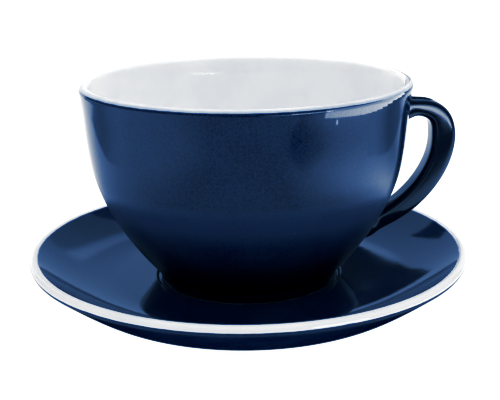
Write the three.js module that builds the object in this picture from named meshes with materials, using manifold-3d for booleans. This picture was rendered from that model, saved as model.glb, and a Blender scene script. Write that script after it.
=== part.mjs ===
// Cup with saucer: a low, wide glazed cup with an ear-shaped handle, standing in the well of its saucer.
// Millimetres and degrees, +Z up. The origin is the middle of the saucer's foot ring, on the table.
// The handle points along +X. Profiles are drawn as radius and height, and turned about the Z axis.

import * as THREE from 'three';
import { mergeVertices } from 'three/addons/utils/BufferGeometryUtils.js';
import Module from 'manifold-3d';

// Saucer, measured from the table
const SAUCER_RADIUS = 77.6;
const SAUCER_HEIGHT = 20.5;
const SAUCER_EDGE_ROUND = 1.8;
const DISH_FLOOR_HEIGHT = 9.7;
const DISH_RIM_SLOPE = 39;
const WELL_DEPTH = 1.0;
const WELL_SIDE_WIDTH = 0.8;
const WELL_CLEARANCE = 1.2;
const UNDERSIDE_RIM_SLOPE = 38.5;
const UNDERSIDE_RIM_PULL = 25;
const UNDERSIDE_FOOT_SLOPE = 4;
const UNDERSIDE_FOOT_PULL = 9;
const SAUCER_FOOT_RADIUS = 47;
const SAUCER_FOOT_WIDTH = 4.2;
const SAUCER_FOOT_HEIGHT = 2.9;
const SAUCER_FOOT_DRAFT = 0.9;
const SAUCER_BASE_THICKNESS = 4.8;

// White band on the saucer's rim: how far it runs below the middle of the rim's edge
const RIM_BAND_DROP = 0.1;

// Cup, measured from the bottom of its own foot
const CUP_HEIGHT = 71.3;
const RIM_RADIUS = 57.4;
const LIP_ROUND = 1.75;
const LIP_OUTER_FLARE = 11;
const LIP_OUTER_PULL = 17.5;
const LIP_INNER_FLARE = 14;
const LIP_INNER_PULL = 16;
const BELLY_RISE = 48;
const BELLY_PULL = 42;
const INNER_FLOOR_HEIGHT = 5.8;
const INNER_FLOOR_PULL = 58;
const CUP_FOOT_RADIUS = 31.4;
const CUP_FOOT_WIDTH = 4.5;
const CUP_FOOT_HEIGHT = 3.6;
const CUP_FOOT_DRAFT = 0.7;
const CUP_FOOT_RECESS = 1.9;

// White glaze: its thickness, and how far it runs down the outside of the lip
const GLAZE_THICKNESS = 0.6;
const GLAZE_LINE_DROP = 0.93;

// Handle: where its middle line meets the wall, how far it stands off, and its section
const HANDLE_TOP_DROP = 11.55;
const HANDLE_TOP_RISE = 7;
const HANDLE_TOP_PULL = 12;
const HANDLE_STANDOFF = 13.4;
const HANDLE_BEND_DROP = 10.6;
const HANDLE_BEND_PULL = 5.7;
const HANDLE_GRIP_PULL = 12.5;
const HANDLE_TAIL_HEIGHT = 17.7;
const HANDLE_TAIL_SLOPE = 18.6;
const HANDLE_TAIL_PULL = 16.1;
const HANDLE_NECK_THICKNESS = 5.3;
const HANDLE_GRIP_THICKNESS = 8.5;
const HANDLE_TAIL_THICKNESS = 5.9;
const HANDLE_WIDTH = 10.8;
const HANDLE_SQUARENESS = 4.4;
const ROOT_FLARE = 2.4;
const ROOT_FLARE_REACH = 5;
const ROOT_DEPTH = 9;
const ROOT_GAP = 0.3;

// Facets
const TURNED_SIDES = 48;
const WALL_STEPS = 10;
const INNER_STEPS = 8;
const LIP_STEPS = 3;
const DISH_STEPS = 6;
const EDGE_STEPS = 3;
const HANDLE_STEPS = 34;
const HANDLE_SIDES = 14;

// Colours
const NAVY_GLAZE = 0x1a3b6d;
const WHITE_GLAZE = 0xe9ebed;

const wasm = await Module();
wasm.setup();

// A point of a turned profile.
function at(radius, height) {
  return new THREE.Vector2(radius, height);
}

// The step of a given length along a direction, in the plane of the profile.
function along(degrees, length) {
  const angle = THREE.MathUtils.degToRad(degrees);
  return at(Math.cos(angle) * length, Math.sin(angle) * length);
}

// Points on an arc, in the order in which its angles are given.
function arc(centre, radius, fromDegrees, toDegrees, steps) {
  const from = THREE.MathUtils.degToRad(fromDegrees);
  const to = THREE.MathUtils.degToRad(toDegrees);
  return new THREE.EllipseCurve(centre.x, centre.y, radius, radius, from, to, to < from).getPoints(steps);
}

// Points on a curve, moved sideways to its right by a distance.
function offsetPoints(curve, distance, steps) {
  return Array.from({ length: steps + 1 }, (_, index) => {
    const t = index / steps;
    const tangent = curve.getTangent(t);
    return curve.getPoint(t).add(at(tangent.y, -tangent.x).multiplyScalar(distance));
  });
}

// A profile turned about the Z axis.
function turned(profile) {
  return new THREE.LatheGeometry(profile, TURNED_SIDES).rotateX(Math.PI / 2);
}

// A glossy glaze of one colour.
function glaze(color) {
  return new THREE.MeshStandardMaterial({ color, roughness: 0.12, metalness: 0 });
}

// A named piece.
function piece(name, geometry, color) {
  const mesh = new THREE.Mesh(geometry, glaze(color));
  mesh.name = name;
  return mesh;
}

// A closed geometry as a solid for cutting.
function solidFrom(geometry) {
  const bare = geometry.clone();
  bare.deleteAttribute('normal');
  bare.deleteAttribute('uv');
  const merged = mergeVertices(bare);
  const corners = Array.from(merged.index.array);
  const triangles = [];
  for (let first = 0; first < corners.length; first += 3) {
    const [a, b, c] = corners.slice(first, first + 3);
    if (a !== b && b !== c && c !== a) triangles.push(a, b, c);
  }
  const vertProperties = new Float32Array(merged.attributes.position.array);
  return new wasm.Manifold(new wasm.Mesh({ numProp: 3, vertProperties, triVerts: new Uint32Array(triangles) }));
}

// The geometry of a cut solid.
function geometryFrom(solid) {
  const mesh = solid.getMesh();
  const geometry = new THREE.BufferGeometry();
  geometry.setAttribute('position', new THREE.BufferAttribute(mesh.vertProperties, mesh.numProp));
  geometry.setIndex(new THREE.BufferAttribute(mesh.triVerts, 1));
  geometry.computeVertexNormals();
  return geometry;
}

// Saucer: the round of the rim's edge carries the white band, and the dish and the underside run into it.
const edgeCentre = at(SAUCER_RADIUS - SAUCER_EDGE_ROUND, SAUCER_HEIGHT - SAUCER_EDGE_ROUND);
const edgeCore = SAUCER_EDGE_ROUND - GLAZE_THICKNESS;
const bandInnerAngle = 90 + DISH_RIM_SLOPE;
const bandOuterAngle = -THREE.MathUtils.radToDeg(Math.asin(RIM_BAND_DROP / SAUCER_EDGE_ROUND));
const bandSeam = arc(edgeCentre, edgeCore, bandOuterAngle, bandInnerAngle, EDGE_STEPS);
const bandFace = arc(edgeCentre, SAUCER_EDGE_ROUND, bandOuterAngle, bandInnerAngle, EDGE_STEPS);
const wellFloorHeight = DISH_FLOOR_HEIGHT - WELL_DEPTH;
const wellRadius = CUP_FOOT_RADIUS + WELL_CLEARANCE;

// The underside, from the foot ring out to the rim.
function undersideCurve() {
  const rimEnd = edgeCentre.clone().add(along(UNDERSIDE_RIM_SLOPE - 90, SAUCER_EDGE_ROUND));
  const footEnd = at(SAUCER_FOOT_RADIUS + SAUCER_FOOT_DRAFT, SAUCER_FOOT_HEIGHT);
  const footPull = footEnd.clone().add(along(UNDERSIDE_FOOT_SLOPE, UNDERSIDE_FOOT_PULL));
  const rimPull = rimEnd.clone().sub(along(UNDERSIDE_RIM_SLOPE, UNDERSIDE_RIM_PULL));
  return new THREE.CubicBezierCurve(footEnd, footPull, rimPull, rimEnd);
}

// The dish, one arc that leaves the rim at its slope and runs out level on the floor.
function dishArc() {
  const rimEnd = bandFace[EDGE_STEPS];
  const slope = THREE.MathUtils.degToRad(DISH_RIM_SLOPE);
  const radius = (rimEnd.y - DISH_FLOOR_HEIGHT) / (1 - Math.cos(slope));
  const centre = at(rimEnd.x - radius * Math.sin(slope), DISH_FLOOR_HEIGHT + radius);
  return arc(centre, radius, DISH_RIM_SLOPE - 90, -90, DISH_STEPS);
}

function saucer() {
  const baseHeight = wellFloorHeight - SAUCER_BASE_THICKNESS;
  const footInside = SAUCER_FOOT_RADIUS - SAUCER_FOOT_WIDTH;
  return turned([
    at(0, baseHeight),
    at(footInside - SAUCER_FOOT_DRAFT, baseHeight),
    at(footInside, 0),
    at(SAUCER_FOOT_RADIUS, 0),
    ...undersideCurve().getPoints(DISH_STEPS),
    ...arc(edgeCentre, SAUCER_EDGE_ROUND, UNDERSIDE_RIM_SLOPE - 90, bandOuterAngle, EDGE_STEPS).slice(1),
    ...bandSeam,
    ...dishArc(),
    at(wellRadius + WELL_SIDE_WIDTH, DISH_FLOOR_HEIGHT),
    at(wellRadius, wellFloorHeight),
    at(0, wellFloorHeight),
  ]);
}

function saucerRimGlaze() {
  const seamBack = bandSeam.slice().reverse();
  return turned([...bandFace, ...seamBack, bandFace[0]]);
}

// Cup: outer wall from the foot up to the lip, inner wall from the middle of the floor up to the lip.
const lipCentre = at(RIM_RADIUS - LIP_ROUND, CUP_HEIGHT - LIP_ROUND);
const lipCore = LIP_ROUND - GLAZE_THICKNESS;
const lipInnerAngle = 180 - LIP_INNER_FLARE;
const glazeLineAngle = THREE.MathUtils.radToDeg(Math.asin((LIP_ROUND - GLAZE_LINE_DROP) / LIP_ROUND));

function outerWall() {
  const footEnd = at(CUP_FOOT_RADIUS + CUP_FOOT_DRAFT, CUP_FOOT_HEIGHT);
  const lipEnd = lipCentre.clone().add(along(-LIP_OUTER_FLARE, LIP_ROUND));
  const bellyPull = footEnd.clone().add(along(BELLY_RISE, BELLY_PULL));
  const lipPull = lipEnd.clone().sub(along(90 - LIP_OUTER_FLARE, LIP_OUTER_PULL));
  return new THREE.CubicBezierCurve(footEnd, bellyPull, lipPull, lipEnd);
}

function innerWall() {
  const floorEnd = at(0, INNER_FLOOR_HEIGHT);
  const lipEnd = lipCentre.clone().add(along(lipInnerAngle, LIP_ROUND));
  const floorPull = floorEnd.clone().add(at(INNER_FLOOR_PULL, 0));
  const lipPull = lipEnd.clone().sub(along(90 - LIP_INNER_FLARE, LIP_INNER_PULL));
  return new THREE.CubicBezierCurve(floorEnd, floorPull, lipPull, lipEnd);
}

const wallCurve = outerWall();
const innerCurve = innerWall();

// The face between the clay and the white glaze, from the middle of the floor over the lip to the glaze line.
const linerSeam = [
  ...offsetPoints(innerCurve, GLAZE_THICKNESS, INNER_STEPS),
  ...arc(lipCentre, lipCore, lipInnerAngle, glazeLineAngle, LIP_STEPS).slice(1),
];

function cupBowl() {
  const footInside = CUP_FOOT_RADIUS - CUP_FOOT_WIDTH;
  const seamBack = linerSeam.slice().reverse();
  return turned([
    at(0, CUP_FOOT_RECESS),
    at(footInside - CUP_FOOT_DRAFT, CUP_FOOT_RECESS),
    at(footInside, 0),
    at(CUP_FOOT_RADIUS, 0),
    ...wallCurve.getPoints(WALL_STEPS),
    ...arc(lipCentre, LIP_ROUND, -LIP_OUTER_FLARE, glazeLineAngle, LIP_STEPS).slice(1),
    ...seamBack,
  ]);
}

function cupLinerGlaze() {
  const innerFace = innerCurve.getPoints(INNER_STEPS).reverse();
  return turned([
    ...linerSeam,
    ...arc(lipCentre, LIP_ROUND, glazeLineAngle, lipInnerAngle, LIP_STEPS),
    ...innerFace.slice(1),
  ]);
}

// The radius of the outer wall at a height above the cup's foot.
function wallRadiusAt(height) {
  let low = 0;
  let high = 1;
  for (let halving = 0; halving < 40; halving += 1) {
    const middle = (low + high) / 2;
    if (wallCurve.getPoint(middle).y < height) low = middle;
    else high = middle;
  }
  return wallCurve.getPoint(low).x;
}

// The handle's middle line, from inside the wall at its top root to inside the wall at its tail.
function handleCurves() {
  const topHeight = CUP_HEIGHT - HANDLE_TOP_DROP;
  const topRoot = at(wallRadiusAt(topHeight), topHeight);
  const grip = topRoot.clone().add(at(HANDLE_STANDOFF, -HANDLE_BEND_DROP));
  const tailRoot = at(wallRadiusAt(HANDLE_TAIL_HEIGHT), HANDLE_TAIL_HEIGHT);
  const topPull = topRoot.clone().add(along(HANDLE_TOP_RISE, HANDLE_TOP_PULL));
  const bendPull = grip.clone().add(at(0, HANDLE_BEND_PULL));
  const gripPull = grip.clone().sub(at(0, HANDLE_GRIP_PULL));
  const tailPull = tailRoot.clone().add(along(HANDLE_TAIL_SLOPE, HANDLE_TAIL_PULL));
  const topInside = topRoot.clone().sub(along(HANDLE_TOP_RISE, ROOT_DEPTH));
  const tailInside = tailRoot.clone().sub(along(HANDLE_TAIL_SLOPE, ROOT_DEPTH));
  return [
    new THREE.LineCurve(topInside, topRoot),
    new THREE.CubicBezierCurve(topRoot, topPull, bendPull, grip),
    new THREE.CubicBezierCurve(grip, gripPull, tailPull, tailRoot),
    new THREE.LineCurve(tailRoot, tailInside),
  ];
}

// How much a root swells at a distance from the wall, which is below zero inside it.
function rootSwell(distance) {
  const share = THREE.MathUtils.clamp(1 - distance / ROOT_FLARE_REACH, 0, 1);
  return ROOT_FLARE * share * share;
}

// One ring of the handle's rounded section, across the middle line.
function handleRing(centre, tangent, thickness, width) {
  return Array.from({ length: HANDLE_SIDES }, (_, side) => {
    const angle = (side / HANDLE_SIDES) * 2 * Math.PI;
    const rounding = 2 / HANDLE_SQUARENESS;
    const across = Math.sign(Math.cos(angle)) * Math.abs(Math.cos(angle)) ** rounding * (thickness / 2);
    const sideways = Math.sign(Math.sin(angle)) * Math.abs(Math.sin(angle)) ** rounding * (width / 2);
    return [centre.x - tangent.y * across, sideways, centre.y + tangent.x * across];
  });
}

// The whole strap before its ends are cut to the wall.
function handleStrap() {
  const curves = handleCurves();
  const path = new THREE.CurvePath();
  curves.forEach((curve) => path.add(curve));
  const [, bendLength, tailLength] = curves.map((curve) => curve.getLength());
  const rings = Array.from({ length: HANDLE_STEPS + 1 }, (_, step) => {
    const share = step / HANDLE_STEPS;
    const fromTop = share * path.getLength() - ROOT_DEPTH;
    const fromTail = bendLength + tailLength - fromTop;
    const toGrip = THREE.MathUtils.smoothstep(fromTop, 0, bendLength);
    const toTail = THREE.MathUtils.clamp((fromTop - bendLength) / tailLength, 0, 1);
    const upper = THREE.MathUtils.lerp(HANDLE_NECK_THICKNESS, HANDLE_GRIP_THICKNESS, toGrip);
    const thickness = THREE.MathUtils.lerp(upper, HANDLE_TAIL_THICKNESS, toTail);
    const swell = rootSwell(fromTop) + rootSwell(fromTail);
    return handleRing(path.getPointAt(share), path.getTangentAt(share), thickness + swell, HANDLE_WIDTH + swell);
  });
  return loft(rings);
}

// A closed skin over rings of points, with a flat fan over each end.
function loft(rings) {
  const sides = rings[0].length;
  const positions = rings.flat(2);
  const triangles = [];
  for (let ring = 0; ring + 1 < rings.length; ring += 1) {
    for (let side = 0; side < sides; side += 1) {
      const next = (side + 1) % sides;
      const [a, b] = [ring * sides + side, ring * sides + next];
      triangles.push(a, b + sides, b, a, a + sides, b + sides);
    }
  }
  const last = (rings.length - 1) * sides;
  for (let side = 1; side + 1 < sides; side += 1) {
    triangles.push(0, side, side + 1, last, last + side + 1, last + side);
  }
  const geometry = new THREE.BufferGeometry();
  geometry.setAttribute('position', new THREE.Float32BufferAttribute(positions, 3));
  geometry.setIndex(triangles);
  return geometry;
}

// The strap with both ends cut to the bowl's wall, a slip joint away from it.
function cupHandle() {
  const cleared = offsetPoints(wallCurve, ROOT_GAP, WALL_STEPS);
  const wall = turned([at(0, cleared[0].y), ...cleared, at(0, cleared[WALL_STEPS].y)]);
  return geometryFrom(solidFrom(handleStrap()).subtract(solidFrom(wall)));
}

const cup = new THREE.Group();
cup.position.z = wellFloorHeight;
cup.add(
  piece('cup_bowl', cupBowl(), NAVY_GLAZE),
  piece('cup_handle', cupHandle(), NAVY_GLAZE),
  piece('cup_liner_glaze', cupLinerGlaze(), WHITE_GLAZE),
);

const cupWithSaucer = new THREE.Group();
cupWithSaucer.add(
  piece('saucer', saucer(), NAVY_GLAZE),
  piece('saucer_rim_glaze', saucerRimGlaze(), WHITE_GLAZE),
  cup,
);

export default cupWithSaucer;
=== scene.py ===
"""A low, wide cup on its saucer: navy glaze outside, white glaze inside and on the saucer's rim.

Metres, +Z up. The origin is the middle of the saucer's foot ring, and the handle points along +X.
"""

import logging
import math
from dataclasses import dataclass, replace
from enum import Enum
from typing import Any, Callable, Sequence, Union

import bpy
from mathutils import Matrix, Vector


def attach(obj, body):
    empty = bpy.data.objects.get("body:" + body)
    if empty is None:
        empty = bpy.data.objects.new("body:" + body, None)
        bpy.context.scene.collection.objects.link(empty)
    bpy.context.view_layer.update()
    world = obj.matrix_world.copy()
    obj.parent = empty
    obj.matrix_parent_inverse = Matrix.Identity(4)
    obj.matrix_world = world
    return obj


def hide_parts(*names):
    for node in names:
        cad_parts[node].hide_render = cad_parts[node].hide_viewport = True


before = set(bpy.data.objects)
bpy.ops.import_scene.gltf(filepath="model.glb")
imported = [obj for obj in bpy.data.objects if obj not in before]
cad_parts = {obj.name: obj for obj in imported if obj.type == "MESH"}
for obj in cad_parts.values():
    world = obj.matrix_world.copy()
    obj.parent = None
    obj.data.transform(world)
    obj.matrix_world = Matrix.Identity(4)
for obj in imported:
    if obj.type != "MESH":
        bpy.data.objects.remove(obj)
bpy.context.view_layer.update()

log = logging.getLogger("cup_with_saucer")

MM = 0.001

Colour = tuple[float, float, float, float]
Point = tuple[float, float]
Place = tuple[float, float, float]
Socket = Union["Value", bpy.types.NodeSocket, float, Colour, Sequence[float]]
Glow = Callable[["Value", "Value", "Value"], "Value"]
Curve = tuple[Vector, Vector, Vector, Vector]

WHITE: Colour = (1.0, 1.0, 1.0, 1.0)
GLAZE_IOR = 1.52


class Body(Enum):
    """The two loose pieces of the set."""

    SAUCER = "saucer"
    CUP = "cup"


class Slot(Enum):
    """The finishes that the record names."""

    NAVY = "navy_glaze"
    WHITE = "white_glaze"


class Ray(Enum):
    """The kinds of light path that a studio object can show to."""

    CAMERA = "visible_camera"
    DIFFUSE = "visible_diffuse"
    GLOSSY = "visible_glossy"
    TRANSMISSION = "visible_transmission"
    SHADOW = "visible_shadow"


class Value:
    """A shader socket that takes part in Python sums, each adding its Math node."""

    def __init__(self, tree: "ShaderTree", socket: bpy.types.NodeSocket) -> None:
        """Keeps the socket and the tree that it belongs to."""
        self.tree = tree
        self.socket = socket

    def __add__(self, other: Socket) -> "Value":
        """This plus other."""
        return self.tree.math("ADD", self, other)

    __radd__ = __add__

    def __sub__(self, other: Socket) -> "Value":
        """This less other."""
        return self.tree.math("SUBTRACT", self, other)

    def __rsub__(self, other: Socket) -> "Value":
        """Other less this."""
        return self.tree.math("SUBTRACT", other, self)

    def __mul__(self, other: Socket) -> "Value":
        """This times other."""
        return self.tree.math("MULTIPLY", self, other)

    __rmul__ = __mul__

    def __truediv__(self, other: Socket) -> "Value":
        """This over other."""
        return self.tree.math("DIVIDE", self, other)

    def __rtruediv__(self, other: Socket) -> "Value":
        """Other over this."""
        return self.tree.math("DIVIDE", other, self)

    def root(self) -> "Value":
        """The square root."""
        return self.tree.math("SQRT", self)

    def rise(self, low: float, high: float) -> "Value":
        """Goes smoothly from 0 at low to 1 at high.

        Args:
            low: The value that gives 0.
            high: The value that gives 1.

        Returns:
            The eased share.
        """
        settings = {"interpolation_type": "SMOOTHSTEP"}
        sockets = {"Value": self, "From Min": low, "From Max": high}
        return self.tree.value("ShaderNodeMapRange", settings, sockets, "Result")

    def fall(self, low: float, high: float) -> "Value":
        """Goes smoothly from 1 at low to 0 at high."""
        return 1 - self.rise(low, high)


class ShaderTree:
    """The nodes of one material or of the world."""

    def __init__(self, node_tree: bpy.types.NodeTree) -> None:
        """Empties a node tree and keeps it.

        Args:
            node_tree: The node tree.
        """
        self.nodes = node_tree.nodes
        self.links = node_tree.links
        self.nodes.clear()

    def node(self, kind: str, settings: dict[str, Any], sockets: dict[Any, Socket]) -> bpy.types.Node:
        """Adds one node.

        Args:
            kind: The node's type.
            settings: Its own settings, which are set first.
            sockets: The values or links of its sockets, by name or number.

        Returns:
            The node.
        """
        made = self.nodes.new(kind)
        for name, setting in settings.items():
            setattr(made, name, setting)
        for name, given in sockets.items():
            if isinstance(given, Value):
                self.links.new(given.socket, made.inputs[name])
            elif isinstance(given, bpy.types.NodeSocket):
                self.links.new(given, made.inputs[name])
            else:
                made.inputs[name].default_value = given
        return made

    def value(self, kind: str, settings: dict[str, Any], sockets: dict[Any, Socket], output: Any) -> Value:
        """Adds one node and gives one of its outputs, by name or number."""
        return Value(self, self.node(kind, settings, sockets).outputs[output])

    def math(self, operation: str, *terms: Socket) -> Value:
        """Adds one Math node on the terms."""
        return self.value("ShaderNodeMath", {"operation": operation}, dict(enumerate(terms)), 0)

    def mix(self, share: Socket, first: Socket, second: Socket) -> Value:
        """Mixes two colours: the first at share 0, the second at share 1."""
        return self.value("ShaderNodeMix", {"data_type": "RGBA"}, {0: share, 6: first, 7: second}, 2)

    def noise(self, place: Socket, size: float, detail: float = 2.0) -> Value:
        """Gives soft noise whose lumps are about a size across.

        Args:
            place: The coordinates that it follows.
            size: The lumps' size in metres.
            detail: How many finer layers it has.

        Returns:
            The noise, around 0.5.
        """
        sockets = {"Vector": place, "Scale": 1 / size, "Detail": detail}
        return self.value("ShaderNodeTexNoise", {}, sockets, 0)

    def dots(self, place: Socket, spacing: float, radius: float, share: float) -> Value:
        """Gives round dots scattered through space, on some of the cells of a grid.

        Args:
            place: The coordinates that they follow.
            spacing: The distance between cells in metres.
            radius: The largest dot's radius in metres.
            share: The share of the cells that hold a dot.

        Returns:
            1 within a dot and 0 elsewhere.
        """
        cells = self.node("ShaderNodeTexVoronoi", {}, {"Vector": place, "Scale": 1 / spacing})
        reach = Value(self, cells.outputs["Distance"])
        draw = self.value("ShaderNodeSeparateColor", {}, {0: cells.outputs["Color"]}, 0)
        chosen = self.math("LESS_THAN", draw, share)
        edge = radius / spacing
        return reach.fall(edge * 0.4, edge) * chosen

    def whereabouts(self) -> tuple[Value, Value, Value, Value]:
        """Reads where on its piece a point is.

        Returns:
            The Object coordinates together, and then X, Y and Z apart.
        """
        place = self.value("ShaderNodeTexCoord", {}, {}, "Object")
        axes = self.node("ShaderNodeSeparateXYZ", {}, {0: place})
        return place, *(Value(self, axis) for axis in axes.outputs)

    def bump(self, relief: Value, depth: float) -> Value:
        """Gives the normal of a skin whose relief, from 0 to 1, has a depth in metres."""
        sockets = {"Strength": 1.0, "Distance": depth, "Height": relief}
        return self.value("ShaderNodeBump", {}, sockets, "Normal")

    def surface(self, kind: str, sockets: dict[Any, Socket]) -> None:
        """Ends a material's nodes in a shader of a type, with the values or links of its sockets."""
        shader = self.node(kind, {}, sockets)
        self.node("ShaderNodeOutputMaterial", {}, {"Surface": shader.outputs[0]})

    def glossy(self, colour: Value, rough: Value, normal: Value, gloss: float = 0.5) -> None:
        """Ends a glaze's nodes in a glossy shader.

        Args:
            colour: Its colour over the surface.
            rough: Its roughness over the surface.
            normal: Its bumped normal.
            gloss: How strongly it mirrors what it faces, 0.5 for plain glass.
        """
        skin = {"Base Color": colour, "Roughness": rough, "Normal": normal}
        self.surface("ShaderNodeBsdfPrincipled", skin | {"IOR": GLAZE_IOR, "Specular IOR Level": gloss})


def new_material(name: str) -> tuple[bpy.types.Material, ShaderTree]:
    """Adds a material with an empty node tree.

    Args:
        name: The material's name.

    Returns:
        The material and its nodes.
    """
    material = bpy.data.materials.new(name)
    material.use_nodes = True
    return material, ShaderTree(material.node_tree)


def away(x: Value, y: Value) -> Value:
    """The distance from the upright axis."""
    return (x * x + y * y).root()


@dataclass(frozen=True)
class NavyGlaze:
    """Glossy navy glaze with fine mottling, pinholes and an orange-peel skin, and bare clay under the foot.

    Attributes:
        name: The material's name.
        foot_height: Height of the bare face under the foot ring, at rest.
        foot_inner: Inner radius of the foot ring.
        foot_outer: Outer radius of the foot ring.
        deep: Colour where the glaze lies thick.
        clear: Colour where it lies thinner.
        belly_painted_light: Painted light: a paler colour on the belly that stands in for reflected light.
        foot_painted_shade: Painted shade: a darker colour by the foot.
        speck: Colour of the pale specks.
        clay: Colour of the bare clay.
        satin_and_painted_light: Height about which the painted light band on the belly and the painted shade
            by the foot are placed, and below which the glaze is less smooth, or 0 where it is the same all
            over.
        gloss: How strongly it mirrors what it faces, 0.5 for plain glass.
        cloud_size: Size of the broad clouds in it.
        grain_size: Size of the fine grain in it.
        skin_size: Size of the dimples in its skin.
        skin_depth: Depth of the dimples.
        speck_spacing: Distance between the places that may hold a speck.
        speck_radius: Radius of the largest speck.
        speck_share: Share of the places that hold one.
        speck_strength: How much of a speck's colour shows.
        belly_light_share: How much of the belly's painted light shows.
        foot_shade_share: How much of the foot's painted shade shows.
        polish: Roughness where it is smoothest.
        clouding: How much rougher the clouds make it.
        dulling: How much rougher it is below the satin height.
        clay_roughness: Roughness of the bare clay.
    """

    name: str
    foot_height: float
    foot_inner: float
    foot_outer: float
    deep: Colour = (0.0006, 0.0042, 0.0228, 1.0)
    clear: Colour = (0.0100, 0.0225, 0.0478, 1.0)
    # Painted light: paler navy for the belly band.
    belly_painted_light: Colour = (0.034, 0.048, 0.085, 1.0)
    # Painted shade: darker navy by the foot.
    foot_painted_shade: Colour = (0.0006, 0.0018, 0.005, 1.0)
    speck: Colour = (0.16, 0.24, 0.40, 1.0)
    clay: Colour = (0.62, 0.58, 0.52, 1.0)
    satin_and_painted_light: float = 0.0
    gloss: float = 0.5
    cloud_size: float = 14 * MM
    grain_size: float = 0.6 * MM
    skin_size: float = 3.2 * MM
    skin_depth: float = 0.010 * MM
    speck_spacing: float = 5.5 * MM
    speck_radius: float = 0.24 * MM
    speck_share: float = 0.16
    speck_strength: float = 0.55
    belly_light_share: float = 0.6
    foot_shade_share: float = 0.75
    polish: float = 0.055
    clouding: float = 0.05
    dulling: float = 0.22
    clay_roughness: float = 0.75

    def make(self) -> bpy.types.Material:
        """Builds the material.

        Returns:
            The finished material.
        """
        material, tree = new_material(self.name)
        place, x, y, height = tree.whereabouts()
        clouds = tree.noise(place, self.cloud_size, 3.0)
        grain = tree.noise(place, self.grain_size, 2.0)
        skin = tree.noise(place, self.skin_size, 1.0)
        specks = tree.dots(place, self.speck_spacing, self.speck_radius, self.speck_share)
        thin = (clouds * 0.25 + grain * 0.75).rise(0.40, 0.60)
        glaze = tree.mix(thin, self.deep, self.clear)
        rough = self.polish + clouds * self.clouding
        if self.satin_and_painted_light:
            # Painted light round the belly and painted shade by the foot.
            glaze = self.paint_belly_light_and_foot_shade(tree, glaze, height)
            rough = rough + self.dulling * height.fall(self.satin_and_painted_light - 4 * MM, self.satin_and_painted_light + 12 * MM)
        bare = self.bare_clay(away(x, y), height, grain)
        colour = tree.mix(bare, tree.mix(specks * self.speck_strength, glaze, self.speck), self.clay)
        rough = rough * (1 - bare) + bare * self.clay_roughness
        tree.glossy(colour, rough, tree.bump(skin - specks * 0.4, self.skin_depth), self.gloss)
        return material

    def paint_belly_light_and_foot_shade(self, tree: ShaderTree, glaze: Value, height: Value) -> Value:
        """Paints a paler band round the belly as painted light and darkens the glaze by the foot as painted
        shade.

        Args:
            tree: The material's nodes.
            glaze: The glaze's colour.
            height: The height on the piece.

        Returns:
            The changed colour.
        """
        # Painted light: a paler band round the belly.
        over_foot = height.rise(self.satin_and_painted_light - 12 * MM, self.satin_and_painted_light - 4 * MM)
        under_lip = height.fall(self.satin_and_painted_light + 1 * MM, self.satin_and_painted_light + 5 * MM)
        belly_lit = tree.mix(over_foot * under_lip * self.belly_light_share, glaze, self.belly_painted_light)
        # Painted shade: darker glaze by the foot.
        foot_shaded = height.fall(self.satin_and_painted_light - 24 * MM, self.satin_and_painted_light - 12 * MM) * self.foot_shade_share
        return tree.mix(foot_shaded, belly_lit, self.foot_painted_shade)

    def bare_clay(self, radius: Value, height: Value, grain: Value) -> Value:
        """Finds the foot's bare face, with a ragged edge.

        Args:
            radius: The distance from the upright axis.
            height: The height on the piece.
            grain: The glaze's grain, which frays the edge.

        Returns:
            1 on the bare clay and 0 elsewhere.
        """
        inner = radius.rise(self.foot_inner - 0.5 * MM, self.foot_inner)
        outer = radius.fall(self.foot_outer, self.foot_outer + 0.5 * MM)
        ragged = height + (grain - 0.5) * (0.3 * MM)
        return inner * outer * ragged.fall(self.foot_height + 0.25 * MM, self.foot_height + 0.4 * MM)


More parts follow.
